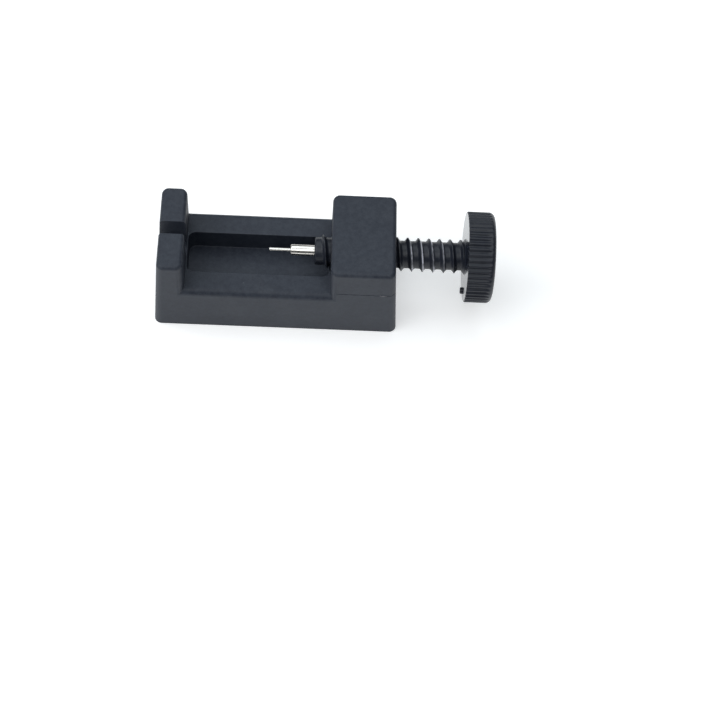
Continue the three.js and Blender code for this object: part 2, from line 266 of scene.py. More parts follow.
class Workpiece:
    """A closed mesh in millimetres that is cut and joined until it becomes a finished piece."""

    def __init__(self, name: str, start: bmesh.types.BMesh) -> None:
        """Take over a bmesh as the first shape of the piece."""
        self.shape = linked_object(name, start)

    def _apply(self) -> None:
        """Make the modifiers' result the piece's own mesh."""
        graph = bpy.context.evaluated_depsgraph_get()
        result = bpy.data.meshes.new_from_object(self.shape.evaluated_get(graph))
        old = self.shape.data
        self.shape.modifiers.clear()
        self.shape.data = result
        bpy.data.meshes.remove(old)

    def combine(self, tools: Iterable[bmesh.types.BMesh], kind: Join) -> None:
        """Cut the piece with closed shapes, or join them to it.

        Args:
            tools: Closed shapes, used up one after another.
            kind: Whether they are taken away or added.
        """
        for tool in tools:
            other = linked_object("tool", tool)
            modifier = self.shape.modifiers.new("combine", "BOOLEAN")
            modifier.operation = kind.value
            modifier.solver = "EXACT"
            modifier.object = other
            self._apply()
            bpy.data.meshes.remove(other.data)

    def clean(self, distance: float, level: float = 0.4) -> None:
        """Merge slivers that the cuts left, and join faces that lie in one plane.

        Args:
            distance: Points nearer than this become one.
            level: Faces count as one plane up to this angle, in degrees.
        """
        def tidy(bm: bmesh.types.BMesh) -> None:
            """Merge near points, then dissolve the edges between level faces."""
            bmesh.ops.remove_doubles(bm, verts=bm.verts, dist=distance)
            bmesh.ops.dissolve_limit(bm, angle_limit=math.radians(level), verts=bm.verts,
                                     edges=bm.edges)
        self.edit(tidy)

    def break_edges(self, width: float, segments: int,
                    wanted: Callable[[bmesh.types.BMVert], bool], angle: float = 30.0) -> None:
        """Round edges that are still sharp.

        Args:
            width: Width of the rounding.
            segments: Steps across it.
            wanted: Tells whether an edge that ends at a vertex may be rounded.
            angle: Smallest angle between faces that counts as an edge, in degrees.
        """
        def mark(bm: bmesh.types.BMesh) -> None:
            """Give every wanted sharp edge its bevel weight."""
            weight = bm.edges.layers.float.new("bevel_weight_edge")
            for edge in bm.edges:
                sharp = edge.calc_face_angle(0.0) > math.radians(angle)
                edge[weight] = float(sharp and all(wanted(vert) for vert in edge.verts))
        self.edit(mark)
        modifier = self.shape.modifiers.new("broken_edges", "BEVEL")
        modifier.width = width
        modifier.segments = segments
        modifier.limit_method = "WEIGHT"
        modifier.use_clamp_overlap = False
        modifier.miter_outer = "MITER_ARC"
        self._apply()

    def take(self) -> bmesh.types.BMesh:
        """Give the mesh back as a bmesh and remove the object.

        Returns:
            The shape.
        """
        bm = bmesh.new()
        bm.from_mesh(self.shape.data)
        bpy.data.meshes.remove(self.shape.data)
        return bm

    def edit(self, change: Callable[[bmesh.types.BMesh], None]) -> None:
        """Change the mesh through a bmesh.

        Args:
            change: Does the change, in place.
        """
        bm = bmesh.new()
        bm.from_mesh(self.shape.data)
        change(bm)
        bm.to_mesh(self.shape.data)
        bm.free()

    def finish(self, body: Body, node: str, slot: str, material: bpy.types.Material,
               smooth_angle: float = 32.0) -> bpy.types.Object:
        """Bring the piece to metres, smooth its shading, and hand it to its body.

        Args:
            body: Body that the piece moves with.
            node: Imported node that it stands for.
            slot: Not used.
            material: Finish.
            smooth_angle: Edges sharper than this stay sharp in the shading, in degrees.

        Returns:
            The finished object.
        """
        mesh = self.shape.data
        self.edit(lambda bm: bmesh.ops.remove_doubles(bm, verts=bm.verts, dist=MERGE))
        mesh.transform(Matrix.Scale(MM, 4))
        mesh.shade_smooth()
        mesh.set_sharp_from_angle(angle=math.radians(smooth_angle))
        weighted = self.shape.modifiers.new("weighted_normals", "WEIGHTED_NORMAL")
        weighted.keep_sharp = True
        mesh.materials.clear()
        mesh.materials.append(material)
        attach(self.shape, body.value)
        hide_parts(node)
        LOG.info("%s: %d vertices, rides on %s", self.shape.name, len(mesh.vertices), body.value)
        return self.shape


# ---------------------------------------------------------------- shader work


class Nodes:
    """Short-hand for building one node tree."""

    def __init__(self, tree: bpy.types.NodeTree) -> None:
        """Start on an empty tree."""
        self.tree = tree
        tree.nodes.clear()

    def link(self, value: bpy.types.NodeSocket, target: bpy.types.NodeSocket) -> None:
        """Feed an output socket into an input socket."""
        self.tree.links.new(value, target)

    def add(self, kind: str, inputs: dict[str | int, object] | None = None,
            **settings: object) -> bpy.types.Node:
        """Add a node.

        Args:
            kind: Blender's node type.
            inputs: Values, or sockets to link, by input name or number.
            settings: Properties of the node.

        Returns:
            The node.
        """
        node = self.tree.nodes.new(kind)
        for name, value in settings.items():
            setattr(node, name, value)
        for key, value in (inputs or {}).items():
            if isinstance(value, bpy.types.NodeSocket):
                self.link(value, node.inputs[key])
            else:
                node.inputs[key].default_value = value
        return node

    def group(self, effect: bpy.types.NodeTree, place: bpy.types.NodeSocket,
              values: dict[str, float] | None = None) -> bpy.types.Node:
        """Place a shared effect.

        Args:
            effect: The effect's node group.
            place: Coordinates that it works on.
            values: The material's own values for the group's other inputs.

        Returns:
            The group's node.
        """
        return self.add("ShaderNodeGroup", {"Vector": place, **(values or {})}, node_tree=effect)

    def math(self, operation: str, first: object, second: object = 0.0,
             third: object = 0.0) -> bpy.types.NodeSocket:
        """Do one sum on numbers or sockets and return its result."""
        inputs = {0: first, 1: second, 2: third}
        return self.add("ShaderNodeMath", inputs, operation=operation).outputs[0]

    def noise(self, vector: object, scale: object, detail: float,
              roughness: float = 0.5) -> bpy.types.NodeSocket:
        """Return the value of a noise texture, from 0 to 1."""
        inputs = {"Vector": vector, "Scale": scale, "Detail": detail, "Roughness": roughness}
        return self.add("ShaderNodeTexNoise", inputs).outputs["Fac"]

    def line_noise(self, along: object, detail: float) -> bpy.types.NodeSocket:
        """Return the value of a noise texture that changes along one number, from 0 to 1."""
        inputs = {"W": along, "Scale": 1.0, "Detail": detail}
        return self.add("ShaderNodeTexNoise", inputs, noise_dimensions="1D").outputs["Fac"]

    def vector(self, operation: str, first: object,
               second: object = (0.0, 0.0, 0.0)) -> bpy.types.Node:
        """Do one sum on vectors and return its node."""
        return self.add("ShaderNodeVectorMath", {0: first, 1: second}, operation=operation)

    def spread(self, value: object, low: float, high: float, to_low: float = 0.0,
               to_high: float = 1.0, smooth: bool = False) -> bpy.types.NodeSocket:
        """Map a range of values to another range, and clamp the result to it.

        Args:
            value: The value to map.
            low: Where the range starts.
            high: Where it ends.
            to_low: Result at the start.
            to_high: Result at the end.
            smooth: Whether the result eases in and out.

        Returns:
            The result.
        """
        kind = "SMOOTHSTEP" if smooth else "LINEAR"
        inputs = {"Value": value, "From Min": low, "From Max": high, "To Min": to_low,
                  "To Max": to_high}
        return self.add("ShaderNodeMapRange", inputs, interpolation_type=kind).outputs["Result"]

    def blend(self, share: object, first: object, second: object) -> bpy.types.NodeSocket:
        """Mix two colours, which are sockets or linear values.

        Args:
            share: Share of the second colour, from 0 to 1.
            first: The colour at 0.
            second: The colour at 1.

        Returns:
            The mixed colour.
        """
        node = self.add("ShaderNodeMix", {"Factor": share}, data_type="RGBA")
        for key, value in ((MIX_FIRST, first), (MIX_SECOND, second)):
            if isinstance(value, bpy.types.NodeSocket):
                self.link(value, node.inputs[key])
            else:
                node.inputs[key].default_value = (*value, 1.0)
        return node.outputs[MIX_RESULT]


class EffectGroup:
    """A shader node group while it is being built."""

    def __init__(self, name: str, inputs: dict[str, float | None], outputs: Sequence[str]) -> None:
        """Make the empty group.

        Args:
            name: Name of the group.
            inputs: Input sockets with their defaults; None makes a vector input.
            outputs: Number output sockets.
        """
        self.tree = bpy.data.node_groups.new(name, "ShaderNodeTree")
        for key, default in inputs.items():
            kind = "NodeSocketVector" if default is None else "NodeSocketFloat"
            socket = self.tree.interface.new_socket(key, in_out="INPUT", socket_type=kind)
            if default is not None:
                socket.default_value = default
        for key in outputs:
            self.tree.interface.new_socket(key, in_out="OUTPUT", socket_type="NodeSocketFloat")
        self.nodes = Nodes(self.tree)
        self.given = self.nodes.add("NodeGroupInput").outputs
        self.made = self.nodes.add("NodeGroupOutput").inputs

    def close(self, results: dict[str, bpy.types.NodeSocket]) -> bpy.types.NodeTree:
        """Feed the results out of the group.

        Args:
            results: Sockets by output name.

        Returns:
            The group.
        """
        for key, socket in results.items():
            self.nodes.link(socket, self.made[key])
        return self.tree


class SharedEffects:
    """Shader node groups that more than one finish uses. Scales are per metre."""

    def __init__(self) -> None:
        """Build each group once."""
        self.grain = self._grain()
        self.wear = self._wear()
        self.dust = self._dust()
        self.turning = self._turning()

    @staticmethod
    def _grain() -> bpy.types.NodeTree:
        """Spark-eroded mould grain: fine pits over slow patches of denser and thinner grain.

        Returns:
            The group.
        """
        pit_scale, pit_depth, fine_depth = 0.55, 0.45, 0.7
        patch_scale, flow_scale = 850.0, 45.0
        fine_share, patch_share = 0.35, 0.65
        group = EffectGroup("mould_grain", {"Vector": None, "Scale": 5000.0},
                            ("Height", "Mottle", "Flow"))
        nodes, place, scale = group.nodes, group.given["Vector"], group.given["Scale"]
        fine = nodes.noise(place, scale, 3.0)
        pits = nodes.add("ShaderNodeTexVoronoi", {
            "Vector": place, "Scale": nodes.math("MULTIPLY", scale, pit_scale)}, feature="SMOOTH_F1")
        height = nodes.math("MULTIPLY_ADD", pits.outputs["Distance"], pit_depth,
                            nodes.math("MULTIPLY", fine, fine_depth))
        patches = nodes.noise(place, patch_scale, 4.0, 0.6)
        flow = nodes.noise(place, flow_scale, 2.0)
        mottle = nodes.math("MULTIPLY_ADD", fine, fine_share,
                            nodes.math("MULTIPLY", patches, patch_share))
        return group.close({"Height": height, "Mottle": nodes.spread(mottle, 0.36, 0.64),
                            "Flow": nodes.spread(flow, 0.35, 0.65)})

    @staticmethod
    def _wear() -> bpy.types.NodeTree:
        """Edges rubbed by handling: where a rounded normal leaves the true one, broken by noise.

        Returns:
            The group.
        """
        group = EffectGroup("edge_wear", {"Vector": None, "Reach": 0.0003, "Breakup": 900.0},
                            ("Mask",))
        nodes, given = group.nodes, group.given
        rounded = nodes.add("ShaderNodeBevel", {"Radius": given["Reach"]}, samples=6)
        geometry = nodes.add("ShaderNodeNewGeometry")
        facing = nodes.vector("DOT_PRODUCT", rounded.outputs["Normal"], geometry.outputs["Normal"])
        edge = nodes.spread(facing.outputs["Value"], 0.995, 0.9)
        kept = nodes.spread(nodes.noise(given["Vector"], given["Breakup"], 4.0), 0.35, 0.62)
        return group.close({"Mask": nodes.math("MULTIPLY", edge, kept)})

    @staticmethod
    def _dust() -> bpy.types.NodeTree:
        """Sparse light specks and a faint haze.

        Returns:
            The group.
        """
        dusty_cells, speck_reach, haze_scale = 0.93, 0.05, 130.0
        group = EffectGroup("dust", {"Vector": None, "Cells": 520.0}, ("Specks", "Haze"))
        nodes, given = group.nodes, group.given
        cells = nodes.add("ShaderNodeTexVoronoi", {"Vector": given["Vector"], "Scale": given["Cells"]},
                          feature="F1")
        size = nodes.add("ShaderNodeSeparateColor", {"Color": cells.outputs["Color"]})
        reach = nodes.spread(size.outputs["Red"], dusty_cells, 1.0, 0.0, speck_reach)
        specks = nodes.math("LESS_THAN", cells.outputs["Distance"], reach)
        haze = nodes.noise(given["Vector"], haze_scale, 5.0, 0.6)
        return group.close({"Specks": specks, "Haze": nodes.spread(haze, 0.5, 0.75)})

    @staticmethod
    def _turning() -> bpy.types.NodeTree:
        """Fine rings that a lathe leaves round the screw's axis, and light scuffs along it.

        Returns:
            The group.
        """
        coarse_rings, scuff_scale = 0.13, 700.0
        group = EffectGroup("turning_marks", {"Vector": None, "Rings": 9000.0},
                            ("Height", "Shade", "Scuffs"))
        nodes, given = group.nodes, group.given
        split = nodes.add("ShaderNodeSeparateXYZ", {0: given["Vector"]})
        line = nodes.math("MULTIPLY", split.outputs["X"], given["Rings"])
        rings = nodes.line_noise(line, 3.0)
        coarse = nodes.line_noise(nodes.math("MULTIPLY", line, coarse_rings), 2.0)
        scuffs = nodes.noise(given["Vector"], scuff_scale, 6.0, 0.65)
        return group.close({"Height": rings, "Shade": nodes.spread(coarse, 0.3, 0.7),
                            "Scuffs": nodes.spread(scuffs, 0.52, 0.68)})


def new_material(name: str) -> tuple[bpy.types.Material, Nodes, bpy.types.NodeSocket, bpy.types.Node]:
    """Make a material with an empty Principled surface.

    Args:
        name: Name of the material.

    Returns:
        The material, its node helper, its Object coordinates and its Principled node.
    """
    material = bpy.data.materials.new(name)
    material.use_nodes = True
    nodes = Nodes(material.node_tree)
    place = nodes.add("ShaderNodeTexCoord").outputs["Object"]
    shader = nodes.add("ShaderNodeBsdfPrincipled")
    nodes.add("ShaderNodeOutputMaterial", {"Surface": shader.outputs["BSDF"]})
    return material, nodes, place, shader


def roughen(nodes: Nodes, shader: bpy.types.Node, height: bpy.types.NodeSocket, depth: float) -> None:
    """Give a surface its fine relief.

    Args:
        nodes: Node helper of the material.
        shader: The surface.
        height: Pattern of the relief, from 0 to 1.
        depth: Its depth in metres.
    """
    bump = nodes.add("ShaderNodeBump", {"Strength": 1.0, "Distance": depth, "Height": height})
    nodes.link(bump.outputs["Normal"], shader.inputs["Normal"])


@dataclass(frozen=True)
class PaintedFlankHighlight:
    """Painted highlight: a pale stretch of colour on the thread's flank that faces the knob, standing in
    for light reflected there, in metres.

    The height is the axis's, and the pitch, phase and root are the thread's. The stretch lies from
    near to far beside the crest, and from start to end along the axis.
    """

    height: float
    pitch: float
    phase: float
    root: float
    near: float = 0.00007
    far: float = 0.0005
    start: float = 0.0297
    end: float = 0.0397
    root_fade: float = 1.05
    breakup: float = 420.0
    # near-white colour of the painted highlight
    colour: Colour = (0.8, 0.8, 0.88)

    def mask(self, nodes: Nodes, place: bpy.types.NodeSocket) -> bpy.types.NodeSocket:
        """Follow the helix by its distance from the crest, and keep the flank that faces the knob, where
        the highlight is painted.

        Args:
            nodes: Node helper of the material.
            place: Object coordinates.

        Returns:
            The mask, from 0 to 1.
        """
        split = nodes.add("ShaderNodeSeparateXYZ", {0: place})
        along, across = split.outputs["X"], split.outputs["Y"]
        above = nodes.math("SUBTRACT", split.outputs["Z"], self.height)
        turn = nodes.math("DIVIDE", nodes.math("ARCTAN2", above, across), math.tau)
        travel = nodes.math("DIVIDE", nodes.math("SUBTRACT", along, self.phase), self.pitch)
        crests = nodes.math("SUBTRACT", travel, turn)
        beside = nodes.math("SUBTRACT", crests, nodes.math("ROUND", crests))
        offset = nodes.math("MULTIPLY", beside, self.pitch)
        soft = (self.far - self.near) / 4
        flank = nodes.math("MULTIPLY", nodes.spread(offset, self.near, self.near + soft),
                           nodes.spread(offset, self.far, self.far - soft))
        sideways = nodes.math("MULTIPLY", across, across)
        radius = nodes.math("SQRT", nodes.math("MULTIPLY_ADD", above, above, sideways))
        raised = nodes.spread(radius, self.root, self.root * self.root_fade)
        used = nodes.math("MULTIPLY", nodes.spread(along, self.start, self.start + self.pitch / 2),
                          nodes.spread(along, self.end, self.end - self.pitch / 2))
        torn = nodes.spread(nodes.noise(place, self.breakup, 3.0), 0.36, 0.56, 0.25, 1.0)
        return nodes.math("MULTIPLY", nodes.math("MULTIPLY", flank, raised),
                          nodes.math("MULTIPLY", used, torn))


@dataclass(frozen=True)
class Flash:
    """Short stretch of pale flash on the mould's parting line, in metres."""

    place: Point
    solid: float = 0.0003
    reach: float = 0.0013
    flatten: Point = (1.0, 1.0, 5.0)
    breakup: float = 1800.0
    colour: Colour = (0.3, 0.3, 0.31)

    def mask(self, nodes: Nodes, place: bpy.types.NodeSocket) -> bpy.types.NodeSocket:
        """Fade with the distance from the middle of the stretch.

        Args:
            nodes: Node helper of the material.
            place: Object coordinates.

        Returns:
            The mask, from 0 to 1.
        """
        offset = nodes.vector("SUBTRACT", place, self.place)
        flat = nodes.vector("MULTIPLY", offset.outputs["Vector"], self.flatten)
        away = nodes.vector("LENGTH", flat.outputs["Vector"])
        near = nodes.spread(away.outputs["Value"], self.reach, self.solid, smooth=True)
        torn = nodes.spread(nodes.noise(place, self.breakup, 2.0), 0.35, 0.6)
        return nodes.math("MULTIPLY", near, torn)


@dataclass(frozen=True)
class MouldedPlastic:
    """Black moulded plastic with fine grain.

    Colours are linear. The roughness runs from low, on rubbed edges, to high, in the grain. A smooth
    face is a flat face across the screw's axis that the mould polished, given by its place along X.
    """

    name: str
    colour: Colour
    tint: Colour
    worn: Colour
    rough_low: float
    rough_high: float
    grain_scale: float
    grain_depth: float
    specular: float = 0.5
    # pale marks: flash on the parting line is the plastic's own; the thread's flank mark is a painted
    # highlight
    flash_and_painted_highlights: tuple[Flash | PaintedFlankHighlight, ...] = ()
    smooth_face: float | None = None
    smooth_rough: float = 0.13
    smooth_reach: float = 0.0001
    rough_spread: float = 0.08
    mottle_share: float = 0.75
    flow_share: float = 0.25
    worn_share: float = 0.55
    speck_share: float = 0.2
    haze_share: float = 0.02
    dust: Colour = (0.34, 0.34, 0.33)

    def build(self, effects: SharedEffects) -> bpy.types.Material:
        """Build the material from the shared effects.

        Args:
            effects: The shared node groups.

        Returns:
            The material.
        """
        material, nodes, place, shader = new_material(self.name)
        grain = nodes.group(effects.grain, place, {"Scale": self.grain_scale}).outputs
        worn = nodes.group(effects.wear, place).outputs["Mask"]
        dust = nodes.group(effects.dust, place).outputs

        shade = nodes.math("MULTIPLY_ADD", grain["Flow"], self.flow_share,
                           nodes.math("MULTIPLY", grain["Mottle"], self.mottle_share))
        colour = nodes.blend(shade, self.colour, self.tint)
        colour = nodes.blend(nodes.math("MULTIPLY", worn, self.worn_share), colour, self.worn)
        powder = nodes.math("MULTIPLY_ADD", dust["Specks"], self.speck_share,
                            nodes.math("MULTIPLY", dust["Haze"], self.haze_share))
        colour = nodes.blend(powder, colour, self.dust)
        # blend in each pale mark: the flash, or the painted highlight on the thread's flank
        for mark in self.flash_and_painted_highlights:
            colour = nodes.blend(mark.mask(nodes, place), colour, mark.colour)
        nodes.link(colour, shader.inputs["Base Color"])
        nodes.link(self._roughness(nodes, place, grain["Mottle"], worn), shader.inputs["Roughness"])
        roughen(nodes, shader, grain["Height"], self.grain_depth)
        shader.inputs["Specular IOR Level"].default_value = self.specular
        return material

    def _roughness(self, nodes: Nodes, place: bpy.types.NodeSocket, mottle: bpy.types.NodeSocket,
                   worn: bpy.types.NodeSocket) -> bpy.types.NodeSocket:
        """Work out the roughness: the grain's, less what handling or the mould polished away.

        Args:
            nodes: Node helper of the material.
            place: Object coordinates.
            mottle: Patches of denser grain.
            worn: Mask of rubbed edges.

        Returns:
            The roughness.
        """
        rough = nodes.spread(mottle, 0.0, 1.0, self.rough_high - self.rough_spread, self.rough_high)
        polished = nodes.math("MULTIPLY", worn, self.rough_high - self.rough_low)
        if self.smooth_face is not None:
            split = nodes.add("ShaderNodeSeparateXYZ", {0: place})
            beside = nodes.math("COMPARE", split.outputs["X"], self.smooth_face, self.smooth_reach)
            smoothed = nodes.math("MULTIPLY", beside, self.rough_high - self.smooth_rough)
            polished = nodes.math("MAXIMUM", polished, smoothed)
        return nodes.math("SUBTRACT", rough, polished)


@dataclass(frozen=True)
class TurnedSteel:
    """Bright turned steel with fine rings. Colours are linear."""

    name: str
    colour: Colour
    shade: Colour
    rough_low: float
    rough_high: float
    rings: float
    ring_depth: float
    ring_share: float = 0.5
    scuff_share: float = 0.4

    def build(self, effects: SharedEffects) -> bpy.types.Material:
        """Build the material from the shared effects.

        Args:
            effects: The shared node groups.

        Returns:
            The material.
        """
        material, nodes, place, shader = new_material(self.name)
        marks = nodes.group(effects.turning, place, {"Rings": self.rings}).outputs
        tone = nodes.math("MULTIPLY_ADD", marks["Shade"], self.ring_share,
                          nodes.math("MULTIPLY", marks["Scuffs"], self.scuff_share))
        nodes.link(nodes.blend(tone, self.colour, self.shade), shader.inputs["Base Color"])
        rough = nodes.spread(tone, 0.0, self.ring_share + self.scuff_share, self.rough_low,
                             self.rough_high)
        nodes.link(rough, shader.inputs["Roughness"])
        roughen(nodes, shader, marks["Height"], self.ring_depth)
        shader.inputs["Metallic"].default_value = 1.0
        return material


class Finishes:
    """Every finish on the tool, built once."""

    def __init__(self, flank_highlight: PaintedFlankHighlight, smooth_face: float) -> None:
        """Build the shared effects and the four materials.

        Args:
            flank_highlight: The painted highlight on the thread's flank.
            smooth_face: Place of the knob's inner face along X.
        """
        effects = SharedEffects()
        self.bed = MouldedPlastic(
            name="bed_satin_black", colour=(0.0115, 0.0155, 0.0265), tint=(0.0315, 0.038, 0.0515),
            worn=(0.06, 0.066, 0.078), rough_low=0.36, rough_high=0.58, grain_scale=2900.0,
            grain_depth=0.000012, specular=0.33,
            flash_and_painted_highlights=(Flash((0.0253, -0.0112, 0.0166)),)).build(effects)
        # The screw carries a painted highlight along the thread's flank that faces the knob.
        self.screw = MouldedPlastic(
            name="screw_black", colour=(0.0068, 0.0088, 0.0148), tint=(0.012, 0.0147, 0.0232),
            worn=(0.034, 0.038, 0.05), rough_low=0.30, rough_high=0.42, grain_scale=4200.0,
            grain_depth=0.000005, specular=0.33, flash_and_painted_highlights=(flank_highlight,),
            smooth_face=smooth_face).build(effects)
        self.holder = TurnedSteel(
            name="holder_steel", colour=(0.78, 0.75, 0.70), shade=(0.60, 0.57, 0.53),
            rough_low=0.14, rough_high=0.30, rings=9000.0, ring_depth=0.000002).build(effects)
        self.pin = TurnedSteel(
            name="pin_steel", colour=(0.80, 0.78, 0.74), shade=(0.62, 0.60, 0.56),
            rough_low=0.12, rough_high=0.26, rings=14000.0, ring_depth=0.000001).build(effects)


# ---------------------------------------------------------------- the thread


@dataclass(frozen=True)
class Thread:
    """Right-handed single-start thread with sharp crests and hollow flanks, in millimetres."""

    height: float = 17.2
    pitch: float = 2.5
    crest: float = 4.0
    root: float = 3.25
    half_base: float = 0.72
    half_tip: float = 0.09
    hollow: float = 1.45
    phase: float = 0.3
    steps: int = 96
    flank_steps: int = 5
    spare_turns: int = 2

    def ridge(self, offset: float) -> float:
        """Work out the radius of the thread beside the middle of its ridge.

        Args:
            offset: Distance from that middle along the axis.

        Returns:
            The radius.
        """
        away = (self.half_base - abs(offset)) / (self.half_base - self.half_tip)
        share = min(max(away, 0.0), 1.0)
        return self.root + (self.crest - self.root) * share ** self.hollow

    def core(self, start: float, end: float, gap: float = 0.0) -> bmesh.types.BMesh:
        """Sweep one pitch of the profile along a helix and cut the result square at both ends.

        Args:
            start: Where the thread starts along the axis.
            end: Where it ends.
            gap: Clearance added all round.

        Returns:
            The closed threaded rod.
        """
        first = math.floor((start - self.phase) / self.pitch) - self.spare_turns
        turns = math.ceil((end - start) / self.pitch) + 2 * self.spare_turns
        begin = self.phase + first * self.pitch
        tip, base, half = self.half_tip + gap, self.half_base + gap, self.pitch / 2
        flank = [tip + (base - tip) * step / self.flank_steps for step in range(self.flank_steps + 1)]
        outward = flank + [base + (half - base) / 2, half]
        offsets = [-value for value in reversed(outward)] + outward
        bm = bmesh.new()
        verts = [bm.verts.new((begin + offset, self._grown(offset, gap), 0.0)) for offset in offsets]
        edges = [bm.edges.new(pair) for pair in zip(verts, verts[1:])]
        bmesh.ops.spin(bm, geom=verts + edges, cent=(0.0, 0.0, 0.0), axis=(1.0, 0.0, 0.0),
                       dvec=(self.pitch / self.steps, 0.0, 0.0), angle=math.tau, steps=self.steps,
                       use_merge=False, use_duplicate=False)
        repeat(bm, turns, Matrix.Translation((self.pitch, 0.0, 0.0)))
        for place, normal in ((start, -1.0), (end, 1.0)):
            bmesh.ops.bisect_plane(bm, geom=bm.verts[:] + bm.edges[:] + bm.faces[:], dist=ON_PLANE,
                                   plane_co=(place, 0.0, 0.0), plane_no=(normal, 0.0, 0.0),
                                   clear_outer=True)
            rim = [edge for edge in bm.edges if edge.is_boundary
                   and all(abs(vert.co.x - place) < MERGE for vert in edge.verts)]
            bmesh.ops.edgeloop_fill(bm, edges=rim)
        bmesh.ops.recalc_face_normals(bm, faces=bm.faces)
        bmesh.ops.translate(bm, vec=(0.0, 0.0, self.height), verts=bm.verts)
        return bm

    def _grown(self, offset: float, gap: float) -> float:
        """Radius at an offset when the whole thread is grown by a gap."""
        inner = max(abs(offset) - gap, 0.0)
        return self.ridge(inner) + gap


# ---------------------------------------------------------------- sub-assemblies


@dataclass
class BedMoulding:
    """Bed with its jaw and threaded block, moulded in one, in millimetres."""

    finish: bpy.types.Material
    thread: Thread
    end_draft: float = math.radians(3.4)
    side_draft: float = math.radians(0.65)
    corner_radius: float = 1.7
    corner_steps: int = 10
    top_round: float = 1.0
    top_steps: int = 6
    rail_height: float = 14.75
    rail_round: float = 1.7
    waste_reach: float = 0.5
    upright_reach: float = 1.0
    jaw_face: float = -21.55
    block_face: float = 12.6
    channel_width: float = 10.8
    channel_floor: float = 8.7
    channel_round: float = 1.7
    channel_ledge: float = 0.25
    notch_width: float = 3.3
    notch_steps: int = 12
    edge_width: float = 0.16
    edge_steps: int = 3
    parting_height: float = 16.65
    parting_width: float = 0.15
    parting_depth: float = 0.15
    flash: tuple[float, float] = (24.5, 26.2)
    bore_gap: float = 0.16
    bore_reach: float = 4.8
    countersink: float = 0.35
    countersink_steps: int = 72
    pocket_depth: float = 3.5
    pocket_round: float = 0.8
    pocket_steps: int = 5
    pocket_grid: tuple[int, int] = (6, 2)
    rib_width: float = 1.6
    end_wall: float = 2.4
    side_wall: float = 3.0
    size: Vector = field(init=False)

    def __post_init__(self) -> None:
        """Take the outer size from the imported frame."""
        low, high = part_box("bed_moulding")
        self.size = (high - low) / MM

    def build(self) -> bpy.types.Object:
        """Shape, cut and dress the moulding.

        Returns:
            The finished bed.
        """
        work = Workpiece("bed_body", self._envelope())
        work.combine([self._bracelet_waste(), self._channel(), self._notch(), self._pockets()],
                     Join.CUT)
        work.clean(2 * HAIR)
        end_face = self.size.x / 2 - self.thread.height * math.tan(self.end_draft)
        work.combine([self._bore(), self._countersink(self.block_face, 1.0),
                      self._countersink(end_face, -1.0)], Join.CUT)
        work.break_edges(self.edge_width, self.edge_steps, self._may_break)
        work.edit(self._parting_line)
        return work.finish(Body.BED, "bed_moulding", "bed_plastic", self.finish)

    def _may_break(self, vert: bmesh.types.BMVert) -> bool:
        """Keep edge rounding away from the threaded hole, which is left as it is cut."""
        outside = radius_of(vert, self.thread.height) > self.bore_reach
        return outside or vert.co.x < self.block_face - self.channel_ledge

    def _rounded_block(self, size: Sequence[float], middle: Sequence[float],
                       chosen: Callable[[float], bool]) -> bmesh.types.BMesh:
        """Make a block with round upright edges, a round top edge, and drafted front and back.

        Args:
            size: Its length, depth and height.
            middle: Its middle.
            chosen: Tells whether the upright edges at a place along X are rounded.

        Returns:
            The block.
        """
        bm = bmesh.new()
        bmesh.ops.create_cube(bm, size=1.0)
        bmesh.ops.scale(bm, vec=size, verts=bm.verts)
        bmesh.ops.translate(bm, vec=middle, verts=bm.verts)
        uprights = [edge for edge in bm.edges if chosen(edge.verts[0].co.x)
                    and abs(edge.verts[0].co.z - edge.verts[1].co.z) > size[2] / 2]
        round_off(bm, uprights, self.corner_radius, self.corner_steps)
        top = middle[2] + size[2] / 2
        rim = [edge for edge in bm.edges if all(vert.co.z > top - MERGE for vert in edge.verts)]
        round_off(bm, rim, self.top_round, self.top_steps)
        for vert in bm.verts:
            vert.co.y *= 1 - vert.co.z * math.tan(self.side_draft) / (self.size.y / 2)
        bmesh.ops.recalc_face_normals(bm, faces=bm.faces)
        return bm

    def _envelope(self) -> bmesh.types.BMesh:
        """Make the outer form: a rounded block with draft on all four sides.

        Returns:
            The form.
        """
        bm = self._rounded_block(self.size, (0.0, 0.0, self.size.z / 2), lambda _: True)
        for vert in bm.verts:
            vert.co.x *= 1 - vert.co.z * math.tan(self.end_draft) / (self.size.x / 2)
        return bm

    def _bracelet_waste(self) -> bmesh.types.BMesh:
        """Make all that is cleared above the rails, so that jaw and block keep round edges.

        Returns:
            The waste.
        """
        reach = self.corner_radius + self.waste_reach
        low, high = self.jaw_face - reach, self.block_face + reach
        wide = self.size.y / 2 + OVERRUN
        corners = [Corner(low, -wide), Corner(high, -wide), Corner(high, wide), Corner(low, wide)]
        waste = Workpiece("waste", prism(corners, self.rail_height, self.size.z + OVERRUN, Axis.Z))
        waste.combine([self._rail_waste(-1, low, high), self._rail_waste(1, low, high)], Join.ADD)
        waste.combine([self._upright(self.jaw_face, -1), self._upright(self.block_face, 1)],
                      Join.CUT)
        return waste.take()

    def _upright(self, face: float, side: int) -> bmesh.types.BMesh:
        """Jaw (side -1) or block (side 1) as a form of its own, a hair wider than the bed.

        Args:
            face: Place of the face that looks at the bracelet.
            side: Direction from that face into the form.

        Returns:
            The form, with round upright edges at that face and a round top edge.
        """
        low = self.rail_height - self.rail_round - self.upright_reach
        length, height = self.size.x / 2 + OVERRUN - abs(face), self.size.z + HAIR - low
        return self._rounded_block(
            (length, self.size.y + 2 * HAIR, height),
            (face + side * length / 2, 0.0, low + height / 2), lambda x: abs(x - face) < MERGE)

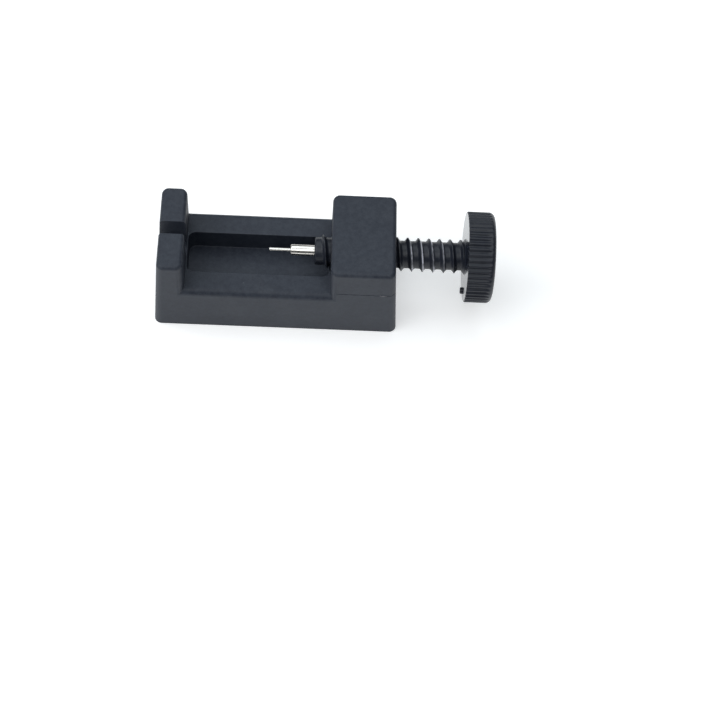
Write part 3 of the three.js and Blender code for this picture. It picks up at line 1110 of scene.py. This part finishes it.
    def _rail_waste(self, side: int, start: float, end: float) -> bmesh.types.BMesh:
        """Make the waste outside the round outer edge of a rail.

        Args:
            side: -1 at the front and 1 at the back.
            start: Where it starts along the rail.
            end: Where it ends.

        Returns:
            The waste.
        """
        low = self.rail_height - self.rail_round
        edge = self.size.y / 2 - low * math.tan(self.side_draft)
        over = self.rail_height + OVERRUN
        corners = [
            Corner(side * (edge - self.rail_round), over),
            Corner(side * (edge - self.rail_round), self.rail_height),
            Corner(side * edge, self.rail_height, self.rail_round), Corner(side * edge, low),
            Corner(side * (edge + OVERRUN), low), Corner(side * (edge + OVERRUN), over),
        ]
        return prism(corners, start, end, Axis.X)

    def _channel(self) -> bmesh.types.BMesh:
        """Make the lengthwise channel between the rails.

        Returns:
            The shape to cut.
        """
        half = self.channel_width / 2
        left, right = self.jaw_face + self.channel_ledge, self.block_face - self.channel_ledge
        corners = [Corner(x, y, self.channel_round)
                   for x, y in ((left, -half), (right, -half), (right, half), (left, half))]
        return prism(corners, self.channel_floor, self.rail_height + OVERRUN, Axis.Z)

    def _notch(self) -> bmesh.types.BMesh:
        """Make the round-bottomed notch in the jaw, where a driven-out pin leaves the bracelet.

        Returns:
            The shape to cut.
        """
        half = self.notch_width / 2
        over = self.size.z + OVERRUN
        corners = [Corner(-half, over), Corner(-half, self.rail_height, half),
                   Corner(half, self.rail_height, half), Corner(half, over)]
        return prism(corners, -self.size.x / 2 - OVERRUN, self.jaw_face + OVERRUN, Axis.X,
                     self.notch_steps)

    def _pockets(self) -> bmesh.types.BMesh:
        """Make the coring pockets in the underside, between crossing ribs.

        Returns:
            The shapes to cut.
        """
        columns, rows = self.pocket_grid
        length = (self.size.x - 2 * self.end_wall - (columns - 1) * self.rib_width) / columns
        depth = (self.size.y - 2 * self.side_wall - (rows - 1) * self.rib_width) / rows
        pockets = bmesh.new()
        for column in range(columns):
            for row in range(rows):
                x = (column - (columns - 1) / 2) * (length + self.rib_width)
                y = (row - (rows - 1) / 2) * (depth + self.rib_width)
                corners = [Corner(x + side * length / 2, y + end * depth / 2, self.pocket_round)
                           for side, end in ((-1, -1), (1, -1), (1, 1), (-1, 1))]
                pocket = prism(corners, -OVERRUN, self.pocket_depth, Axis.Z, self.pocket_steps)
                mesh = bpy.data.meshes.new("pocket")
                pocket.to_mesh(mesh)
                pocket.free()
                pockets.from_mesh(mesh)
                bpy.data.meshes.remove(mesh)
        return pockets

    def _parting_line(self, bm: bmesh.types.BMesh) -> None:
        """Press the mould's parting line into the block's outer faces, with a short raised flash.

        Args:
            bm: The bed, changed in place.
        """
        middle, width = self.parting_height, self.parting_width
        start, end = self.flash
        cuts = [((0.0, 0.0, height), (0.0, 0.0, 1.0))
                for height in (middle - width, middle, middle + width)]
        cuts += [((place, 0.0, 0.0), (1.0, 0.0, 0.0))
                 for place in (start - width, start, end, end + width)]
        for point, normal in cuts:
            bmesh.ops.bisect_plane(bm, geom=self._block_part(bm), dist=ON_PLANE, plane_co=point,
                                   plane_no=normal)
        for vert in bm.verts:
            if abs(vert.co.z - middle) > MERGE or vert.co.x < self.block_face + self.edge_width * 2:
                continue
            outward = Vector((vert.normal.x, vert.normal.y, 0.0)).normalized()
            raised = vert.co.y < 0 and start - MERGE < vert.co.x < end + MERGE
            vert.co += outward * (self.parting_depth if raised else -self.parting_depth)

    def _block_part(self, bm: bmesh.types.BMesh) -> list:
        """Choose the block's faces near the parting line.

        Args:
            bm: The bed.

        Returns:
            The faces, with their edges and corners.
        """
        faces = [face for face in bm.faces
                 if max(v.co.x for v in face.verts) > self.block_face + self.corner_radius
                 and min(v.co.z for v in face.verts) < self.parting_height + self.parting_width
                 and max(v.co.z for v in face.verts) > self.parting_height - self.parting_width]
        edges = {edge for face in faces for edge in face.edges}
        verts = {vert for face in faces for vert in face.verts}
        return faces + list(edges) + list(verts)

    def _bore(self) -> bmesh.types.BMesh:
        """Threaded hole through the block, cut as a slightly grown screw."""
        return self.thread.core(self.block_face - OVERRUN, self.size.x / 2 + OVERRUN, self.bore_gap)

    def _countersink(self, place: float, inwards: float) -> bmesh.types.BMesh:
        """Make a small cone that breaks the edge of the threaded hole at one face.

        Args:
            place: The face's place along X.
            inwards: Direction from that face into the block, 1 or -1.

        Returns:
            The shape to cut.
        """
        wide = self.thread.crest + self.bore_gap + self.countersink
        corners = [
            Corner(place - inwards * OVERRUN, 0.0), Corner(place - inwards * OVERRUN, wide),
            Corner(place, wide), Corner(place + inwards * wide, 0.0),
        ]
        return turned(corners, self.countersink_steps, self.thread.height)


@dataclass
class ThumbScrew:
    """Threaded rod and hollow knurled knob, moulded in one, in millimetres."""

    finish: bpy.types.Material
    thread: Thread
    tip: float = 8.65
    tip_radius: float = 2.8
    shoulder: float = 0.5
    lead_in: float = 0.65
    full_thread: float = 2.3
    socket_radius: float = 1.4
    socket_end: float = 13.8
    socket_cone: float = 0.6
    socket_steps: int = 64
    inner: float = 44.25
    length: float = 6.4
    radius: float = 10.7
    root_radius: float = 4.35
    root_length: float = 0.9
    root_step: float = 0.05
    root_round: float = 0.25
    inner_round: float = 0.3
    rim_round: float = 1.2
    round_steps: int = 8
    knurl_count: int = 50
    knurl_steps: int = 10
    knurl_depth: float = 0.38
    knurl_end: float = 1.15
    knurl_power: float = 1.3
    knurl_stop: float = 0.55
    cup_radius: float = 8.2
    cup_depth: float = 4.7
    cup_fillet: float = 1.5
    lip_round: float = 0.45
    gate_place: tuple[float, float] = (-4.45, -8.1)
    gate_radius: float = 0.92
    gate_taper: float = 0.8
    gate_height: float = 0.5
    gate_steps: int = 24

    def build(self) -> bpy.types.Object:
        """Shape, join and dress the screw.

        Returns:
            The finished screw.
        """
        work = Workpiece("thumb_screw_body", self._rod())
        work.combine([self._knob(), self._gate_mark()], Join.ADD)
        work.combine([self._socket()], Join.CUT)
        return work.finish(Body.SCREW, "thumb_screw", "screw_plastic", self.finish, TURNED_SMOOTH)

    def _rod(self) -> bmesh.types.BMesh:
        """Make the rod: a round shoulder at its tip, behind which the thread rises to full height.

        Returns:
            The closed rod.
        """
        bm = self.thread.core(self.tip, self.inner + self.inner_round)
        height, root = self.thread.height, self.thread.root
        for vert in bm.verts:
            along = vert.co.x - self.tip
            radius = radius_of(vert, height)
            if along > self.full_thread or radius < MERGE:
                continue
            rise = min(max((along - self.lead_in) / (self.full_thread - self.lead_in), 0.0), 1.0)
            ridge = (radius - root) * rise * rise * (3 - 2 * rise)
            set_radius(vert, height, self._shoulder(along) + ridge)
        return bm

    def _shoulder(self, along: float) -> float:
        """Radius of the bare rod at a distance behind the tip: a quarter round, then the root."""
        left = min(max(1 - along / self.shoulder, 0.0), 1.0)
        return self.tip_radius + (self.thread.root - self.tip_radius) * math.sqrt(1 - left * left)

    def _knob(self) -> bmesh.types.BMesh:
        """Make the cup-shaped knob: turned as one profile, then knurled.

        Returns:
            The closed knob.
        """
        inner, outer = self.inner, self.inner + self.length
        floor = outer - self.cup_depth
        corners = [
            Corner(inner - self.root_length, 0.0),
            Corner(inner - self.root_length, self.thread.root + self.root_step),
            Corner(inner, self.root_radius, self.root_round),
            Corner(inner, self.radius, self.inner_round),
            Corner(outer - self.rim_round - self.knurl_end, self.radius),
            Corner(outer - self.rim_round - self.knurl_end / 2, self.radius),
            Corner(outer, self.radius, self.rim_round), Corner(outer, self.cup_radius, self.lip_round),
            Corner(floor, self.cup_radius, self.cup_fillet), Corner(floor, 0.0),
        ]
        bm = turned(corners, self.knurl_count * self.knurl_steps, self.thread.height,
                    self.round_steps, self.knurl_count)
        for vert in bm.verts:
            self._knurl(vert)
        return bm

    def _knurl(self, vert: bmesh.types.BMVert) -> None:
        """Sink a vertex of the knob's edge into the nearest groove of the straight knurl.

        Args:
            vert: The vertex, moved in place.
        """
        height = self.thread.height
        angle = math.atan2(vert.co.z - height, vert.co.y) * self.knurl_count
        groove = (0.5 + 0.5 * math.cos(angle)) ** self.knurl_power
        stop = self.inner + self.length - self.rim_round * self.knurl_stop
        fade = min(max((stop - vert.co.x) / self.knurl_end, 0.0), 1.0)
        limit = self.radius - self.knurl_depth * groove * fade
        if radius_of(vert, height) > limit:
            set_radius(vert, height, limit)

    def _gate_mark(self) -> bmesh.types.BMesh:
        """Make the stub that the moulding gate left on the knob's inner face.

        Returns:
            The closed stub.
        """
        bm = bmesh.new()
        depth = self.gate_height + self.inner_round
        bmesh.ops.create_cone(bm, cap_ends=True, segments=self.gate_steps, radius1=self.gate_radius,
                              radius2=self.gate_radius * self.gate_taper, depth=depth)
        bmesh.ops.rotate(bm, cent=(0.0, 0.0, 0.0), matrix=Matrix.Rotation(-math.pi / 2, 3, "Y"),
                         verts=bm.verts)
        side, rise = self.gate_place
        middle = self.inner - self.gate_height + depth / 2
        bmesh.ops.translate(bm, vec=(middle, side, self.thread.height + rise), verts=bm.verts)
        return bm

    def _socket(self) -> bmesh.types.BMesh:
        """Make the hole in the rod's tip that the pin holder is pressed into.

        Returns:
            The shape to cut.
        """
        corners = [
            Corner(self.tip - OVERRUN, 0.0), Corner(self.tip - OVERRUN, self.socket_radius),
            Corner(self.socket_end, self.socket_radius),
            Corner(self.socket_end + self.socket_cone, 0.0),
        ]
        return turned(corners, self.socket_steps, self.thread.height)


@dataclass
class PinHolder:
    """Turned steel holder that stands out of the rod's tip, in millimetres."""

    finish: bpy.types.Material
    height: float
    radius: float = 1.35
    tip: float = 3.0
    end: float = 13.5
    shoulder: float = 0.32
    bore_radius: float = 0.46
    bore_round: float = 0.06
    bore_end: float = 6.6
    steps: int = 96
    round_steps: int = 5

    def build(self) -> bpy.types.Object:
        """Turn and dress the holder.

        Returns:
            The finished holder.
        """
        corners = [
            Corner(self.tip, self.bore_radius, self.bore_round),
            Corner(self.tip, self.radius, self.shoulder),
            Corner(self.end, self.radius), Corner(self.end, 0.0), Corner(self.bore_end, 0.0),
            Corner(self.bore_end, self.bore_radius),
        ]
        work = Workpiece("pin_holder_body", turned(corners, self.steps, self.height, self.round_steps))
        return work.finish(Body.CARRIER, "pin_holder", "holder_steel", self.finish, TURNED_SMOOTH)


@dataclass
class DrivePin:
    """Thin pin that pushes the bracelet's own pins out, in millimetres."""

    finish: bpy.types.Material
    height: float
    radius: float = 0.4
    tip: float = -2.0
    end: float = 6.5
    tip_round: float = 0.12
    steps: int = 64
    round_steps: int = 5

    def build(self) -> bpy.types.Object:
        """Turn and dress the pin.

        Returns:
            The finished pin.
        """
        corners = [
            Corner(self.tip, 0.0), Corner(self.tip, self.radius, self.tip_round),
            Corner(self.end, self.radius), Corner(self.end, 0.0),
        ]
        work = Workpiece("drive_pin_body", turned(corners, self.steps, self.height, self.round_steps))
        return work.finish(Body.CARRIER, "drive_pin", "pin_steel", self.finish, TURNED_SMOOTH)


# ---------------------------------------------------------------- the studio


def direction(azimuth: float, elevation: float) -> Vector:
    """Direction towards a viewer; azimuth 0 stands in front (-Y) and 90 at +X, in degrees."""
    turn, rise = math.radians(azimuth), math.radians(elevation)
    return Vector((math.sin(turn) * math.cos(rise), -math.cos(turn) * math.cos(rise), math.sin(rise)))


@dataclass(frozen=True)
class SoftBox:
    """A square studio light that looks at the tool. Angles in degrees, lengths in metres."""

    name: str
    azimuth: float
    elevation: float
    width: float
    height: float
    power: float
    colour: Colour
    distance: float = 0.9

    def build(self, aim: Vector) -> bpy.types.Object:
        """Place the light.

        Args:
            aim: Point that it looks at, in metres.

        Returns:
            The light's object.
        """
        lamp = bpy.data.lights.new(self.name, "AREA")
        lamp.shape = "RECTANGLE"
        lamp.size = self.width
        lamp.size_y = self.height
        lamp.energy = self.power
        lamp.color = self.colour
        made = bpy.data.objects.new(self.name, lamp)
        back = direction(self.azimuth, self.elevation)
        made.location = aim + back * self.distance
        made.rotation_euler = back.to_track_quat("Z", "Y").to_euler()
        made.visible_camera = False
        bpy.context.scene.collection.objects.link(made)
        return made


@dataclass(frozen=True)
class Studio:
    """Pale floor, soft light and the main camera. Angles in degrees, lengths in metres."""

    azimuth: float = -4.02
    elevation: float = 61.57
    roll: float = 5.76
    distance: float = 0.478144
    aim: Point = (0.02234, 0.0, -0.03676)
    lens: float = 90.9
    sensor: float = 36.0
    clip_start: float = 0.01
    clip_end: float = 20.0
    floor_size: float = 8.0
    floor_colour: Colour = (0.86, 0.86, 0.86)
    floor_rough: float = 0.9
    floor_specular: float = 0.1
    floor_glow: float = 0.37
    room_strength: float = 0.1
    room_colour: Colour = (0.95, 0.98, 1.0)
    boxes: tuple[SoftBox, ...] = (
        SoftBox("back_box", 168.0, 62.0, 1.0, 0.8, power=2.55, colour=(0.88, 0.96, 1.0)),
        SoftBox("back_left_box", -150.0, 60.0, 1.0, 0.8, power=1.75, colour=(0.9, 0.96, 1.0)),
        SoftBox("front_box", 0.0, 66.0, 0.9, 0.6, power=3.4, colour=(0.95, 0.98, 1.0)),
        SoftBox("left_box", -80.0, 45.0, 0.8, 0.5, power=4.0, colour=(0.97, 0.99, 1.0)),
    )

    def build(self, centre: Vector) -> None:
        """Build the floor, the surroundings, the lights and the camera.

        Args:
            centre: Middle of the tool.
        """
        self._floor()
        self._surroundings()
        for box in self.boxes:
            box.build(centre)
        self._camera()

    def _floor(self) -> None:
        """Plain white floor that glows a little, so that shadows on it stay faint."""
        bm = bmesh.new()
        bmesh.ops.create_grid(bm, x_segments=1, y_segments=1, size=self.floor_size / 2)
        floor = linked_object("floor", bm)
        material = bpy.data.materials.new("floor_white")
        material.use_nodes = True
        nodes = Nodes(material.node_tree)
        shader = nodes.add("ShaderNodeBsdfPrincipled", {
            "Base Color": (*self.floor_colour, 1.0), "Roughness": self.floor_rough,
            "Specular IOR Level": self.floor_specular, "Emission Color": (1.0, 1.0, 1.0, 1.0),
            "Emission Strength": self.floor_glow})
        nodes.add("ShaderNodeOutputMaterial", {"Surface": shader.outputs["BSDF"]})
        floor.data.materials.append(material)
        floor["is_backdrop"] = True

    def _surroundings(self) -> None:
        """Dim grey room around the lights."""
        world = bpy.data.worlds.new("studio")
        world.use_nodes = True
        bpy.context.scene.world = world
        nodes = Nodes(world.node_tree)
        room = nodes.add("ShaderNodeBackground", {"Color": (*self.room_colour, 1.0),
                                                  "Strength": self.room_strength})
        nodes.add("ShaderNodeOutputWorld", {"Surface": room.outputs["Background"]})

    def _camera(self) -> None:
        """Main camera, looking down on the tool from the front."""
        back = direction(self.azimuth, self.elevation)
        level = Vector((math.cos(math.radians(self.azimuth)), math.sin(math.radians(self.azimuth)), 0.0))
        upright = back.cross(level)
        turn = math.radians(self.roll)
        right = level * math.cos(turn) + upright * math.sin(turn)
        up = upright * math.cos(turn) - level * math.sin(turn)
        data = bpy.data.cameras.new("main_camera")
        data.lens = self.lens
        data.sensor_width = self.sensor
        data.clip_start = self.clip_start
        data.clip_end = self.clip_end
        camera = bpy.data.objects.new("main_camera", data)
        pose = Matrix((right, up, back)).transposed().to_4x4()
        pose.translation = Vector(self.aim) + back * self.distance
        camera.matrix_world = pose
        bpy.context.scene.collection.objects.link(camera)
        bpy.context.scene.camera = camera


def main() -> None:
    logging.basicConfig(level=logging.INFO, format="%(name)s: %(message)s")
    packed_low, packed_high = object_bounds()
    bpy.context.scene.view_settings.view_transform = "Standard"
    thread = Thread()
    # painted highlight on the thread's flank, laid along the helix
    flank_highlight = PaintedFlankHighlight(thread.height * MM, thread.pitch * MM, thread.phase * MM, thread.root * MM)
    finishes = Finishes(flank_highlight, ThumbScrew.inner * MM)
    BedMoulding(finishes.bed, thread).build()
    ThumbScrew(finishes.screw, thread).build()
    PinHolder(finishes.holder, thread.height).build()
    DrivePin(finishes.pin, thread.height).build()
    Studio().build((packed_low + packed_high) / 2)


if __name__ == "__main__":
    main()
